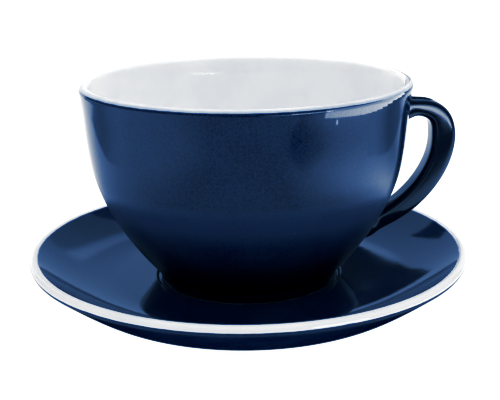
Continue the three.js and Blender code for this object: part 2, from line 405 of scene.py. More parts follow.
@dataclass(frozen=True)
class WhiteGlaze:
    """Glossy white glaze that thins to blue along the lines where it ends.

    Attributes:
        name: The material's name.
        line_height: Height of the line where it ends on the outside, at rest.
        line_radius: The outside is what lies further out than this.
        inner_radius: Radius of the line where it ends on the inside, or 0 where it doesn't.
        body: Colour of the glaze.
        shade: Colour where it pools.
        edge: Colour where the blue shows through.
        thin_shade_reach: How far above its outside line the glaze turns grey, as painted shade partly from
            the glaze thinning, or 0 where it doesn't.
        thin_shade_grey: Grey of that band: painted shade, partly the thinned glaze.
        speck: Colour of the dark specks.
        cloud_size: Size of the broad clouds in it.
        skin_size: Size of the dimples in its skin.
        skin_depth: Depth of the dimples.
        speck_spacing: Distance between the places that may hold a speck.
        speck_radius: Radius of the largest speck.
        speck_share: Share of the places that hold one.
        speck_strength: How much of a speck's colour shows.
        waver_size: Length of the waves of its end lines.
        waver_reach: How far the waves go.
        polish: Roughness where it is smoothest.
        clouding: How much rougher the clouds make it.
    """

    name: str
    line_height: float
    line_radius: float
    inner_radius: float
    body: Colour = (0.875, 0.88, 0.885, 1.0)
    shade: Colour = (0.83, 0.84, 0.85, 1.0)
    edge: Colour = (0.055, 0.11, 0.24, 1.0)
    thin_shade_reach: float = 0.0
    # Painted shade, partly thin glaze: the grey above the outside line.
    thin_shade_grey: Colour = (0.46, 0.49, 0.54, 1.0)
    speck: Colour = (0.30, 0.31, 0.33, 1.0)
    cloud_size: float = 16 * MM
    skin_size: float = 3.4 * MM
    skin_depth: float = 0.010 * MM
    speck_spacing: float = 9 * MM
    speck_radius: float = 0.16 * MM
    speck_share: float = 0.10
    speck_strength: float = 0.5
    waver_size: float = 4.5 * MM
    waver_reach: float = 0.5 * MM
    polish: float = 0.06
    clouding: float = 0.05

    def make(self) -> bpy.types.Material:
        """Builds the material.

        Returns:
            The finished material.
        """
        material, tree = new_material(self.name)
        place, x, y, height = tree.whereabouts()
        radius = away(x, y)
        clouds = tree.noise(place, self.cloud_size, 3.0)
        skin = tree.noise(place, self.skin_size, 1.0)
        specks = tree.dots(place, self.speck_spacing, self.speck_radius, self.speck_share)
        waver = (tree.noise(place, self.waver_size, 3.0) - 0.5) * self.waver_reach
        glaze = tree.mix(clouds.rise(0.35, 0.65), self.shade, self.body)
        outside = radius.rise(self.line_radius, self.line_radius + 0.05 * MM)
        above = height + waver - self.line_height
        # Painted shade, partly the glaze thinning: greys the white above its outside line.
        if self.thin_shade_reach:
            glaze = tree.mix(outside * above.fall(0.1 * self.thin_shade_reach, self.thin_shade_reach), glaze, self.thin_shade_grey)
        thin = outside * above.fall(-0.1 * MM, 0.14 * MM)
        if self.inner_radius:
            inside = radius + waver - self.inner_radius
            thin = tree.math("MAXIMUM", thin, inside.fall(0.0, 0.5 * MM))
        colour = tree.mix(specks * self.speck_strength, tree.mix(thin, glaze, self.edge), self.speck)
        rough = self.polish + clouds * self.clouding
        tree.glossy(colour, rough, tree.bump(skin, self.skin_depth))
        return material


class Outline:
    """A profile to be turned about the upright axis, as points of radius and height."""

    def __init__(self) -> None:
        """Starts with no points."""
        self.points: list[Vector] = []

    def line(self, *points: Point) -> "Outline":
        """Adds corners."""
        self.points.extend(Vector(point) for point in points)
        return self

    def arc(self, centre: Point, radius: float, start: float, stop: float, steps: int) -> "Outline":
        """Adds an arc.

        Args:
            centre: Its middle.
            radius: Its radius.
            start: The angle of its first point, in degrees.
            stop: The angle of its last point, in degrees.
            steps: How many chords it has.

        Returns:
            This outline.
        """
        for step in range(steps + 1):
            angle = start + (stop - start) * step / steps
            self.points.append(Vector(centre) + polar(angle, radius))
        return self

    def curve(self, start: Vector, pull: Vector, push: Vector, stop: Vector, steps: int) -> "Outline":
        """Adds a cubic curve.

        Args:
            start: Its first point.
            pull: The control point that goes with the first.
            push: The control point that goes with the last.
            stop: Its last point.
            steps: How many chords it has.

        Returns:
            This outline.
        """
        for step in range(steps + 1):
            self.points.append(cubic(start, pull, push, stop, step / steps))
        return self

    def fillet(self, corner: Point, after: Point, radius: float, steps: int = 5) -> "Outline":
        """Rounds a corner between the last point and the one that comes after.

        Args:
            corner: The sharp corner.
            after: A point that the outline then heads for.
            radius: The round's radius.
            steps: How many chords the round has.

        Returns:
            This outline.
        """
        turn = Vector(corner)
        back = (self.points[-1] - turn).normalized()
        ahead = (Vector(after) - turn).normalized()
        half = back.angle(ahead) / 2
        middle = turn + (back + ahead).normalized() * (radius / math.sin(half))
        first = turn + back * (radius / math.tan(half)) - middle
        last = turn + ahead * (radius / math.tan(half)) - middle
        sweep = first.angle_signed(last)
        for step in range(steps + 1):
            turned = first.copy()
            turned.rotate(Matrix.Rotation(-sweep * step / steps, 2))
            self.points.append(middle + turned)
        return self


def polar(degrees: float, length: float) -> Vector:
    """A step of a length along a direction in the profile's plane."""
    angle = math.radians(degrees)
    return Vector((math.cos(angle) * length, math.sin(angle) * length))


def cubic(start: Vector, pull: Vector, push: Vector, stop: Vector, share: float) -> Vector:
    """Gives a point on a cubic curve.

    Args:
        start: The curve's first point.
        pull: The control point that goes with the first.
        push: The control point that goes with the last.
        stop: The curve's last point.
        share: How far along the point is, from 0 to 1.

    Returns:
        The point.
    """
    rest = 1 - share
    near = start * rest**3 + pull * (3 * rest * rest * share)
    return near + push * (3 * rest * share * share) + stop * share**3


class Bench:
    """Modelling steps that several pieces share."""

    TURNED_SIDES = 192
    MERGE = 2e-6
    CREASE = 40.0

    @staticmethod
    def clear() -> None:
        """Leaves edit mode and deselects everything."""
        if bpy.context.object and bpy.context.object.mode != "OBJECT":
            bpy.ops.object.mode_set(mode="OBJECT")
        bpy.ops.object.select_all(action="DESELECT")

    @classmethod
    def turn(cls, name: str, outline: Outline) -> bpy.types.Object:
        """Draws a profile by extruding a vertex along it, and spins it once round.

        Args:
            name: The piece's name.
            outline: The profile, which closes on itself or starts and ends on the axis.

        Returns:
            The closed turned piece.
        """
        cls.clear()
        bpy.ops.mesh.primitive_plane_add(size=MM, location=(0, 0, 0))
        piece = bpy.context.object
        piece.name = name
        piece.data.name = name
        bpy.ops.object.mode_set(mode="EDIT")
        bpy.ops.mesh.select_all(action="SELECT")
        bpy.ops.mesh.merge(type="CENTER")
        here = Vector((0, 0))
        for number, there in enumerate(outline.points):
            step = (there.x - here.x, 0, there.y - here.y)
            if number:
                bpy.ops.mesh.extrude_region_move(TRANSFORM_OT_translate={"value": step})
            else:
                bpy.ops.transform.translate(value=step)
            here = there
        bpy.ops.mesh.select_all(action="SELECT")
        bpy.ops.mesh.spin(steps=cls.TURNED_SIDES, angle=2 * math.pi, center=(0, 0, 0), axis=(0, 0, 1))
        cls.close()
        return piece

    @classmethod
    def close(cls) -> None:
        """Merges seams and poles, turns the faces outwards and smooths them, and leaves edit mode."""
        bpy.ops.mesh.select_all(action="SELECT")
        bpy.ops.mesh.remove_doubles(threshold=cls.MERGE)
        bpy.ops.mesh.dissolve_degenerate(threshold=cls.MERGE)
        bpy.ops.mesh.normals_make_consistent(inside=False)
        bpy.ops.object.mode_set(mode="OBJECT")
        bpy.ops.object.shade_smooth_by_angle(angle=math.radians(cls.CREASE))

    @staticmethod
    def apply(piece: bpy.types.Object, kind: str, **settings: Any) -> None:
        """Adds a modifier to a piece and applies it.

        Args:
            piece: The piece.
            kind: The modifier's type.
            settings: The modifier's settings.
        """
        Bench.clear()
        piece.select_set(True)
        bpy.context.view_layer.objects.active = piece
        modifier = piece.modifiers.new(kind.lower(), kind)
        for name, setting in settings.items():
            setattr(modifier, name, setting)
        bpy.ops.object.modifier_apply(modifier=modifier.name)

    @staticmethod
    def remove(piece: bpy.types.Object) -> None:
        """Deletes a helper object.

        Args:
            piece: The helper.
        """
        Bench.clear()
        piece.select_set(True)
        bpy.ops.object.delete()


def settle(piece: bpy.types.Object, body: Body, node: str, material: bpy.types.Material) -> None:
    """Dresses a piece and puts it in the place of its CAD node.

    Args:
        piece: The finished piece.
        body: The body that it moves with.
        node: The CAD node that it stands for.
        material: The finish's material.
    """
    piece.data.materials.clear()
    piece.data.materials.append(material)
    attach(piece, body.value)
    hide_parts(node)
    log.info("%s: %d faces, rides on %s", piece.name, len(piece.data.polygons), body.value)


@dataclass
class Saucer:
    """The pressed dish with its foot ring and well, and the white band on its rim.

    Attributes:
        radius: Outer radius of the rim.
        height: Height of the rim.
        edge_round: Radius of the rim's edge.
        floor_height: Height of the dish's flat floor.
        rim_slope: Slope of the dish at the rim, in degrees.
        well_depth: Depth of the well that holds the cup's foot.
        well_side: Width of the well's slanted side.
        well_radius: Radius of the well's floor.
        under_rim_slope: Slope of the underside at the rim, in degrees.
        under_rim_pull: Length of the underside's pull at the rim.
        under_foot_slope: Slope of the underside at the foot, in degrees.
        under_foot_pull: Length of the underside's pull at the foot.
        foot_radius: Outer radius of the foot ring.
        foot_width: Width of the foot ring.
        foot_height: Height of the foot ring.
        foot_draft: How far the foot's sides lean.
        foot_soft: Round of the foot's corners.
        brink_round: Round of the well's upper corner.
        sink_round: Round of the well's lower corner.
        base_thickness: Thickness under the well.
        band_drop: How far the band runs below the middle of the edge.
        glaze: Thickness of the white band.
        band_shaded_white: Colour of the white band, darker than the cup's white as painted shade.
        band_shaded_pool: Colour where the white band's glaze pools, darker likewise as painted shade.
        curve_steps: How many chords a long curve of the profile has.
        core_steps: How many chords each part of the edge's round has under the band.
        band_steps: How many chords the band's outside has.
    """

    radius: float = 77.6 * MM
    height: float = 20.5 * MM
    edge_round: float = 1.8 * MM
    floor_height: float = 9.7 * MM
    rim_slope: float = 39.0
    well_depth: float = 1.0 * MM
    well_side: float = 0.8 * MM
    well_radius: float = 32.6 * MM
    under_rim_slope: float = 38.5
    under_rim_pull: float = 25 * MM
    under_foot_slope: float = 4.0
    under_foot_pull: float = 9 * MM
    foot_radius: float = 47 * MM
    foot_width: float = 4.2 * MM
    foot_height: float = 2.9 * MM
    foot_draft: float = 0.9 * MM
    foot_soft: float = 0.8 * MM
    brink_round: float = 0.7 * MM
    sink_round: float = 0.5 * MM
    base_thickness: float = 4.8 * MM
    band_drop: float = 0.1 * MM
    glaze: float = 0.6 * MM
    # Painted shade: the band's whites are darker than the cup lining's.
    band_shaded_white: Colour = (0.79, 0.795, 0.80, 1.0)
    band_shaded_pool: Colour = (0.755, 0.765, 0.775, 1.0)
    curve_steps: int = 26
    core_steps: int = 8
    band_steps: int = 18

    @property
    def well_height(self) -> float:
        """Height of the well's floor, where the cup stands."""
        return self.floor_height - self.well_depth

    @property
    def edge_centre(self) -> Vector:
        """Middle of the round of the rim's edge."""
        return Vector((self.radius - self.edge_round, self.height - self.edge_round))

    @property
    def band_outer(self) -> float:
        """Angle on the edge's round where the band ends outside, in degrees."""
        return -math.degrees(math.asin(self.band_drop / self.edge_round))

    @property
    def band_inner(self) -> float:
        """Angle on the edge's round where the band ends inside, in degrees."""
        return 90 + self.rim_slope

    def dish_outline(self) -> Outline:
        """Draws the dish, from the middle of its base round to the middle of its well.

        Returns:
            The profile.
        """
        outline = Outline()
        base = self.well_height - self.base_thickness
        foot_inner = self.foot_radius - self.foot_width
        foot_end = Vector((self.foot_radius + self.foot_draft, self.foot_height))
        rim_end = self.edge_centre + polar(self.under_rim_slope - 90, self.edge_round)
        foot_pull = foot_end + polar(self.under_foot_slope, self.under_foot_pull)
        rim_pull = rim_end - polar(self.under_rim_slope, self.under_rim_pull)
        outline.line((0, base), (foot_inner * 0.5, base))
        outline.fillet((foot_inner - self.foot_draft, base), (foot_inner, 0), self.foot_soft)
        outline.fillet((foot_inner, 0), (self.foot_radius, 0), self.foot_soft)
        outline.fillet((self.foot_radius, 0), foot_end, self.foot_soft)
        outline.fillet(foot_end, foot_pull, self.foot_soft)
        start = outline.points.pop()
        outline.curve(start, foot_pull, rim_pull, rim_end, self.curve_steps)
        under_rim = self.under_rim_slope - 90
        outline.arc(self.edge_centre, self.edge_round, under_rim, self.band_outer, self.core_steps)
        core = self.edge_round - self.glaze
        outline.arc(self.edge_centre, core, self.band_outer, self.band_inner, self.core_steps)
        dish_start = self.edge_centre + polar(self.band_inner, self.edge_round)
        slope = math.radians(self.rim_slope)
        bend = (dish_start.y - self.floor_height) / (1 - math.cos(slope))
        middle = (dish_start.x - bend * math.sin(slope), self.floor_height + bend)
        outline.arc(middle, bend, self.rim_slope - 90, -90, self.curve_steps)
        brink = (self.well_radius + self.well_side, self.floor_height)
        sink = (self.well_radius, self.well_height)
        outline.fillet(brink, sink, self.brink_round)
        outline.fillet(sink, (0, self.well_height), self.sink_round)
        outline.line((self.well_radius * 0.5, self.well_height), (0, self.well_height))
        return outline

    def band_outline(self) -> Outline:
        """Draws the white band, a thin coat over the round of the rim's edge.

        Returns:
            The profile.
        """
        outline = Outline()
        core = self.edge_round - self.glaze
        outline.arc(self.edge_centre, self.edge_round, self.band_outer, self.band_inner, self.band_steps)
        outline.arc(self.edge_centre, core, self.band_inner, self.band_outer, self.core_steps)
        outline.points.append(outline.points[0].copy())
        return outline

    def build(self) -> None:
        """Models both pieces and dresses them."""
        navy = NavyGlaze("saucer_navy_glaze", 0.0, self.foot_radius - self.foot_width, self.foot_radius)
        band_line = self.edge_centre + polar(self.band_outer, self.edge_round)
        band_inner = self.edge_centre + polar(self.band_inner, self.edge_round)
        white = WhiteGlaze(
            "saucer_white_glaze",
            band_line.y,
            self.edge_centre.x,
            band_inner.x,
            self.band_shaded_white,
            self.band_shaded_pool,
        )
        dish = Bench.turn("saucer_dish", self.dish_outline())
        settle(dish, Body.SAUCER, "saucer", navy.make())
        band = Bench.turn("saucer_white_band", self.band_outline())
        settle(band, Body.SAUCER, "saucer_rim_glaze", white.make())


@dataclass
class Cup:
    """The bowl with its foot ring, its white lining and its ear-shaped handle.

    Attributes:
        seat: Height of the well's floor that the foot stands on.
        height: Height from the foot to the lip.
        rim_radius: Outer radius of the lip.
        lip_round: Radius of the lip's round.
        lip_outer_flare: Lean of the outer wall at the lip, in degrees.
        lip_outer_pull: Length of the outer wall's pull at the lip.
        lip_inner_flare: Lean of the inner wall at the lip, in degrees.
        lip_inner_pull: Length of the inner wall's pull at the lip.
        belly_rise: Slope of the outer wall at the foot, in degrees.
        belly_pull: Length of the outer wall's pull at the foot.
        floor_height: Height of the inner floor.
        floor_pull: Length of the inner wall's pull at the floor.
        foot_radius: Outer radius of the foot ring.
        foot_width: Width of the foot ring.
        foot_height: Height of the foot ring.
        foot_draft: How far the foot's sides lean.
        foot_recess: Depth of the hollow under the foot.
        foot_soft: Round of the foot's corners.
        glaze: Thickness of the white lining.
        glaze_drop: How far below the top of the lip the white ends outside.
        lip_thin_shade_reach: How far above that line the white glaze turns grey, as painted shade partly
            from the glaze thinning.
        wall_steps: How many chords the outer and the inner wall have.
        seam_steps: How many chords the seam between clay and lining has.
        core_steps: How many chords the seam has over the lip.
        lip_steps: How many chords the lip's round has.
        brow_steps: How many chords the round has below the glaze line.
    """

    seat: float
    height: float = 71.3 * MM
    rim_radius: float = 57.4 * MM
    lip_round: float = 1.75 * MM
    lip_outer_flare: float = 11.0
    lip_outer_pull: float = 17.5 * MM
    lip_inner_flare: float = 14.0
    lip_inner_pull: float = 16 * MM
    belly_rise: float = 48.0
    belly_pull: float = 42 * MM
    floor_height: float = 5.8 * MM
    floor_pull: float = 58 * MM
    foot_radius: float = 31.4 * MM
    foot_width: float = 4.5 * MM
    foot_height: float = 3.6 * MM
    foot_draft: float = 0.7 * MM
    foot_recess: float = 1.9 * MM
    foot_soft: float = 0.7 * MM
    glaze: float = 0.6 * MM
    glaze_drop: float = 0.93 * MM
    lip_thin_shade_reach: float = 1.5 * MM
    wall_steps: int = 48
    seam_steps: int = 36
    core_steps: int = 8
    lip_steps: int = 14
    brow_steps: int = 6

    @property
    def lip_centre(self) -> Vector:
        """Middle of the lip's round."""
        return Vector((self.rim_radius - self.lip_round, self.seat + self.height - self.lip_round))

    @property
    def lip_inner(self) -> float:
        """Angle on the lip's round where the inner wall starts, in degrees."""
        return 180 - self.lip_inner_flare

    @property
    def glaze_line(self) -> float:
        """Angle on the lip's round where the white ends outside, in degrees."""
        return math.degrees(math.asin((self.lip_round - self.glaze_drop) / self.lip_round))

    def wall(self) -> Curve:
        """Draws the outer wall.

        Returns:
            Its curve, from the foot to the lip.
        """
        foot = Vector((self.foot_radius + self.foot_draft, self.seat + self.foot_height))
        lip = self.lip_centre + polar(-self.lip_outer_flare, self.lip_round)
        pull = foot + polar(self.belly_rise, self.belly_pull)
        push = lip - polar(90 - self.lip_outer_flare, self.lip_outer_pull)
        return foot, pull, push, lip

    def inside(self) -> Curve:
        """Draws the inner wall.

        Returns:
            Its curve, from the middle of the floor to the lip.
        """
        floor = Vector((0, self.seat + self.floor_height))
        lip = self.lip_centre + polar(self.lip_inner, self.lip_round)
        pull = floor + Vector((self.floor_pull, 0))
        push = lip - polar(90 - self.lip_inner_flare, self.lip_inner_pull)
        return floor, pull, push, lip

    def wall_radius(self, height: float) -> float:
        """Finds the outer wall's radius at a height, by halving.

        Args:
            height: The height.

        Returns:
            The radius.
        """
        wall = self.wall()
        low, high = 0.0, 1.0
        for _ in range(40):
            middle = (low + high) / 2
            if cubic(*wall, middle).y < height:
                low = middle
            else:
                high = middle
        return cubic(*wall, low).x

    def seam(self) -> list[Vector]:
        """Draws the face between clay and lining, from the floor's middle over the lip to the glaze line.

        Returns:
            Its points.
        """
        seam = offset(self.inside(), self.glaze, self.seam_steps)
        core = self.lip_round - self.glaze
        lip = Outline().arc(self.lip_centre, core, self.lip_inner, self.glaze_line, self.core_steps)
        return seam + lip.points[1:]

    def bowl_outline(self) -> Outline:
        """Draws the bowl, from the hollow under its foot up the wall and back down under the lining.

        Returns:
            The profile.
        """
        outline = Outline()
        recess = self.seat + self.foot_recess
        foot_inner = self.foot_radius - self.foot_width
        foot, pull, push, lip = self.wall()
        outline.line((0, recess), (foot_inner * 0.5, recess))
        outline.fillet((foot_inner - self.foot_draft, recess), (foot_inner, self.seat), self.foot_soft)
        outline.fillet((foot_inner, self.seat), (self.foot_radius, self.seat), self.foot_soft)
        outline.fillet((self.foot_radius, self.seat), foot, self.foot_soft)
        outline.fillet(foot, pull, self.foot_soft)
        start = outline.points.pop()
        outline.curve(start, pull, push, lip, self.wall_steps)
        outline.arc(self.lip_centre, self.lip_round, -self.lip_outer_flare, self.glaze_line, self.brow_steps)
        outline.points.extend(reversed(self.seam()))
        return outline

    def lining_outline(self) -> Outline:
        """Draws the lining, a thin coat over the inside and the lip.

        Returns:
            The profile.
        """
        outline = Outline()
        outline.points.extend(self.seam())
        outline.arc(self.lip_centre, self.lip_round, self.glaze_line, self.lip_inner, self.lip_steps)
        inner = Outline().curve(*self.inside(), self.wall_steps)
        outline.points.extend(list(reversed(inner.points))[1:])
        return outline

    def build(self) -> None:
        """Models the three pieces and dresses them."""
        foot_inner = self.foot_radius - self.foot_width
        # This height also places the navy glaze's painted light band and painted shade by the foot.
        satin_and_painted_light = self.seat + self.height / 2
        navy = NavyGlaze("cup_navy_glaze", self.seat, foot_inner, self.foot_radius, satin_and_painted_light=satin_and_painted_light)
        line = self.lip_centre + polar(self.glaze_line, self.lip_round)
        # The lining's white greys on the lip's outer face as painted shade, partly from the glaze thinning.
        white = WhiteGlaze("cup_white_glaze", line.y, self.lip_centre.x, 0.0, thin_shade_reach=self.lip_thin_shade_reach)
        bowl = Bench.turn("cup_bowl_wall", self.bowl_outline())
        settle(bowl, Body.CUP, "cup_bowl", navy.make())
        lining = Bench.turn("cup_white_lining", self.lining_outline())
        settle(lining, Body.CUP, "cup_liner_glaze", white.make())
        handle = Handle(self)
        settle(handle.build(), Body.CUP, "cup_handle", handle.glaze(navy).make())


def offset(curve: Curve, distance: float, steps: int) -> list[Vector]:
    """Draws a cubic curve moved to its right.

    Args:
        curve: The curve's four points.
        distance: How far it is moved.
        steps: How many chords it has.

    Returns:
        The moved points.
    """
    start, pull, push, stop = curve
    points = []
    for step in range(steps + 1):
        share = step / steps
        rest = 1 - share
        slope = (pull - start) * rest**2 + (push - pull) * (2 * rest * share) + (stop - push) * share**2
        ahead = slope.normalized()
        points.append(cubic(start, pull, push, stop, share) + Vector((ahead.y, -ahead.x)) * distance)
    return points


@dataclass
class Handle:
    """The ear-shaped strap, stuck to the bowl at a top root and a tail.

    Attributes:
        cup: The cup that carries it.
        top_drop: How far below the lip its middle line leaves the wall.
        top_rise: Slope at which it leaves, in degrees.
        top_pull: Length of the pull there.
        standoff: How far the grip stands out from the top root.
        bend_drop: How far the grip lies below the top root.
        bend_pull: Length of the pull above the grip.
        grip_pull: Length of the pull below the grip.
        tail_height: Height of the tail root above the foot.
        tail_slope: Slope of the tail, in degrees.
        tail_pull: Length of the pull at the tail.
        neck_thickness: Thickness at the top root.
        grip_thickness: Thickness at the grip.
        tail_thickness: Thickness at the tail.
        width: Width of the strap.
        corner: Round of the section's corners, as a share of its side.
        flare: How much a root swells.
        flare_reach: How far from the wall a root swells.
        root_depth: How far the strap is drawn into the wall before it is cut.
        bury: How deep in the wall it is cut.
        stations: How many steps the strap is extruded in.
        corner_steps: How many chords a corner of the section has.
        measure_steps: How many chords measure a stretch of the middle line.
        guide_steps: How many chords a stretch of the guide has.
        core_steps: How many chords the core that cuts the roots has.
        deep: Colour where its glaze lies thick, darker than the bowl's as painted shade.
        clear: Colour where its glaze lies thinner, darker than the bowl's as painted shade.
        gloss: How strongly its glaze mirrors what it faces.
    """

    cup: Cup
    top_drop: float = 11.55 * MM
    top_rise: float = 7.0
    top_pull: float = 12.0 * MM
    standoff: float = 13.4 * MM
    bend_drop: float = 10.6 * MM
    bend_pull: float = 5.7 * MM
    grip_pull: float = 12.5 * MM
    tail_height: float = 17.7 * MM
    tail_slope: float = 18.6
    tail_pull: float = 16.1 * MM
    neck_thickness: float = 5.3 * MM
    grip_thickness: float = 8.5 * MM
    tail_thickness: float = 5.9 * MM
    width: float = 10.8 * MM
    corner: float = 0.25
    flare: float = 2.4 * MM
    flare_reach: float = 5.0 * MM
    root_depth: float = 9.0 * MM
    bury: float = 1.0 * MM
    stations: int = 60
    corner_steps: int = 6
    measure_steps: int = 200
    guide_steps: int = 64
    core_steps: int = 40
    # Painted shade: both colours are darker than the bowl's navy.
    deep: Colour = (0.0012, 0.0032, 0.009, 1.0)
    clear: Colour = (0.0020, 0.0053, 0.015, 1.0)
    gloss: float = 0.45

    def glaze(self, navy: NavyGlaze) -> NavyGlaze:
        """Gives the handle's glaze: the bowl's glaze made darker as painted shade, and the same all over.

        Args:
            navy: The bowl's glaze.

        Returns:
            The handle's glaze.
        """
        name = "handle_shaded_navy_glaze"
        return replace(navy, name=name, satin_and_painted_light=0.0, gloss=self.gloss, deep=self.deep, clear=self.clear)

    def middle_line(self) -> list[tuple[Vector, Vector, Vector]]:
        """Draws the middle line.

        Returns:
            Its points from the top root's inside to the tail's, each with the pull before and after it.
        """
        cup = self.cup
        top_height = cup.seat + cup.height - self.top_drop
        tail_height = cup.seat + self.tail_height
        top = Vector((cup.wall_radius(top_height), top_height))
        grip = top + Vector((self.standoff, -self.bend_drop))
        tail = Vector((cup.wall_radius(tail_height), tail_height))
        top_in = top - polar(self.top_rise, self.root_depth)
        tail_in = tail - polar(self.tail_slope, self.root_depth)
        top_third = (top_in - top) / 3
        tail_third = (tail_in - tail) / 3
        return [
            (top_in, top_in, top_in - top_third),
            (top, top + top_third, top + polar(self.top_rise, self.top_pull)),
            (grip, grip + Vector((0, self.bend_pull)), grip - Vector((0, self.grip_pull))),
            (tail, tail + polar(self.tail_slope, self.tail_pull), tail + tail_third),
            (tail_in, tail_in - tail_third, tail_in),
        ]

    def lengths(self) -> list[float]:
        """Measures the stretches of the middle line, in chords.

        Returns:
            Their lengths.
        """
        knots = self.middle_line()
        shares = [step / self.measure_steps for step in range(self.measure_steps + 1)]
        lengths = []
        for (start, _, pull), (stop, push, _) in zip(knots, knots[1:]):
            points = [cubic(start, pull, push, stop, share) for share in shares]
            lengths.append(sum((after - before).length for before, after in zip(points, points[1:])))
        return lengths

    def section(self, distance: float) -> tuple[float, float]:
        """Gives the strap's thickness and width at a distance along its middle line.

        Args:
            distance: The distance from the line's start.

        Returns:
            The thickness and the width.
        """
        _, bend, tail, _ = self.lengths()
        from_top = distance - self.root_depth
        from_tail = bend + tail - from_top
        share = min(max(from_top / bend, 0.0), 1.0)
        to_grip = share * share * (3 - 2 * share)
        to_tail = min(max((from_top - bend) / tail, 0.0), 1.0)
        upper = self.neck_thickness + (self.grip_thickness - self.neck_thickness) * to_grip
        thickness = upper + (self.tail_thickness - upper) * to_tail
        swell = self.swell(from_top) + self.swell(from_tail)
        return thickness + swell, self.width + swell

    def swell(self, distance: float) -> float:
        """How much a root swells at a distance from the wall."""
        share = min(max(1 - distance / self.flare_reach, 0.0), 1.0)
        return self.flare * share * share

    def straight_strap(self) -> bpy.types.Object:
        """Models the strap unbent along +X: a rounded section extruded from station to station.

        Returns:
            The strap.
        """
        Bench.clear()
        bpy.ops.mesh.primitive_plane_add(size=1, rotation=(0, math.pi / 2, 0))
        strap = bpy.context.object
        strap.name = "cup_handle_strap"
        strap.data.name = "cup_handle_strap"
        bpy.ops.object.transform_apply(location=True, rotation=True, scale=True)
        bpy.ops.object.mode_set(mode="EDIT")
        bpy.ops.mesh.select_all(action="SELECT")
        bpy.ops.mesh.bevel(offset=self.corner, segments=self.corner_steps, affect="VERTICES")
        length = sum(self.lengths())
        thickness, width = self.section(0.0)
        bpy.ops.transform.resize(value=(1, thickness, width), center_override=(0, 0, 0))
        for station in range(1, self.stations + 1):
            distance = length * station / self.stations
            step = (length / self.stations, 0, 0)
            bpy.ops.mesh.extrude_region_move(TRANSFORM_OT_translate={"value": step})
            thicker, wider = self.section(distance)
            growth = (1, thicker / thickness, wider / width)
            bpy.ops.transform.resize(value=growth, center_override=(distance, 0, 0))
            thickness, width = thicker, wider
        Bench.close()
        return strap

    def guide(self) -> bpy.types.Object:
        """Draws the middle line as a curve in the ground plane, to bend the strap along.

        Returns:
            The curve.
        """
        Bench.clear()
        bpy.ops.curve.primitive_bezier_curve_add()
        guide = bpy.context.object
        guide.data.resolution_u = self.guide_steps
        knots = self.middle_line()
        spline = guide.data.splines[0]
        spline.bezier_points.add(len(knots) - len(spline.bezier_points))
        for knot, (place, before, after) in zip(spline.bezier_points, knots):
            knot.handle_left_type = "FREE"
            knot.handle_right_type = "FREE"
            knot.co = place.to_3d()
            knot.handle_left = before.to_3d()
            knot.handle_right = after.to_3d()
        return guide

    def wall_core(self) -> bpy.types.Object:
        """Turns a core a little smaller than the bowl's wall, to cut the roots with.

        Returns:
            The core.
        """
        points = offset(self.cup.wall(), -self.bury, self.core_steps)
        outline = Outline().line((0, points[0].y))
        outline.points.extend(points)
        outline.line((0, points[-1].y))
        return Bench.turn("wall_core", outline)

    def build(self) -> bpy.types.Object:
        """Models the handle.

        Returns:
            The strap, bent to its line and cut to the wall.
        """
        strap = self.straight_strap()
        guide = self.guide()
        Bench.apply(strap, "CURVE", object=guide, deform_axis="POS_X")
        Bench.remove(guide)
        strap.select_set(True)
        bpy.context.view_layer.objects.active = strap
        strap.rotation_euler = (math.pi / 2, 0, 0)
        bpy.ops.object.transform_apply(location=True, rotation=True, scale=True)
        Bench.apply(strap, "SUBSURF", levels=1, render_levels=1)
        core = self.wall_core()
        Bench.apply(strap, "BOOLEAN", operation="DIFFERENCE", object=core, solver="EXACT")
        Bench.remove(core)
        strap.select_set(True)
        bpy.context.view_layer.objects.active = strap
        bpy.ops.object.mode_set(mode="EDIT")
        Bench.close()
        return strap


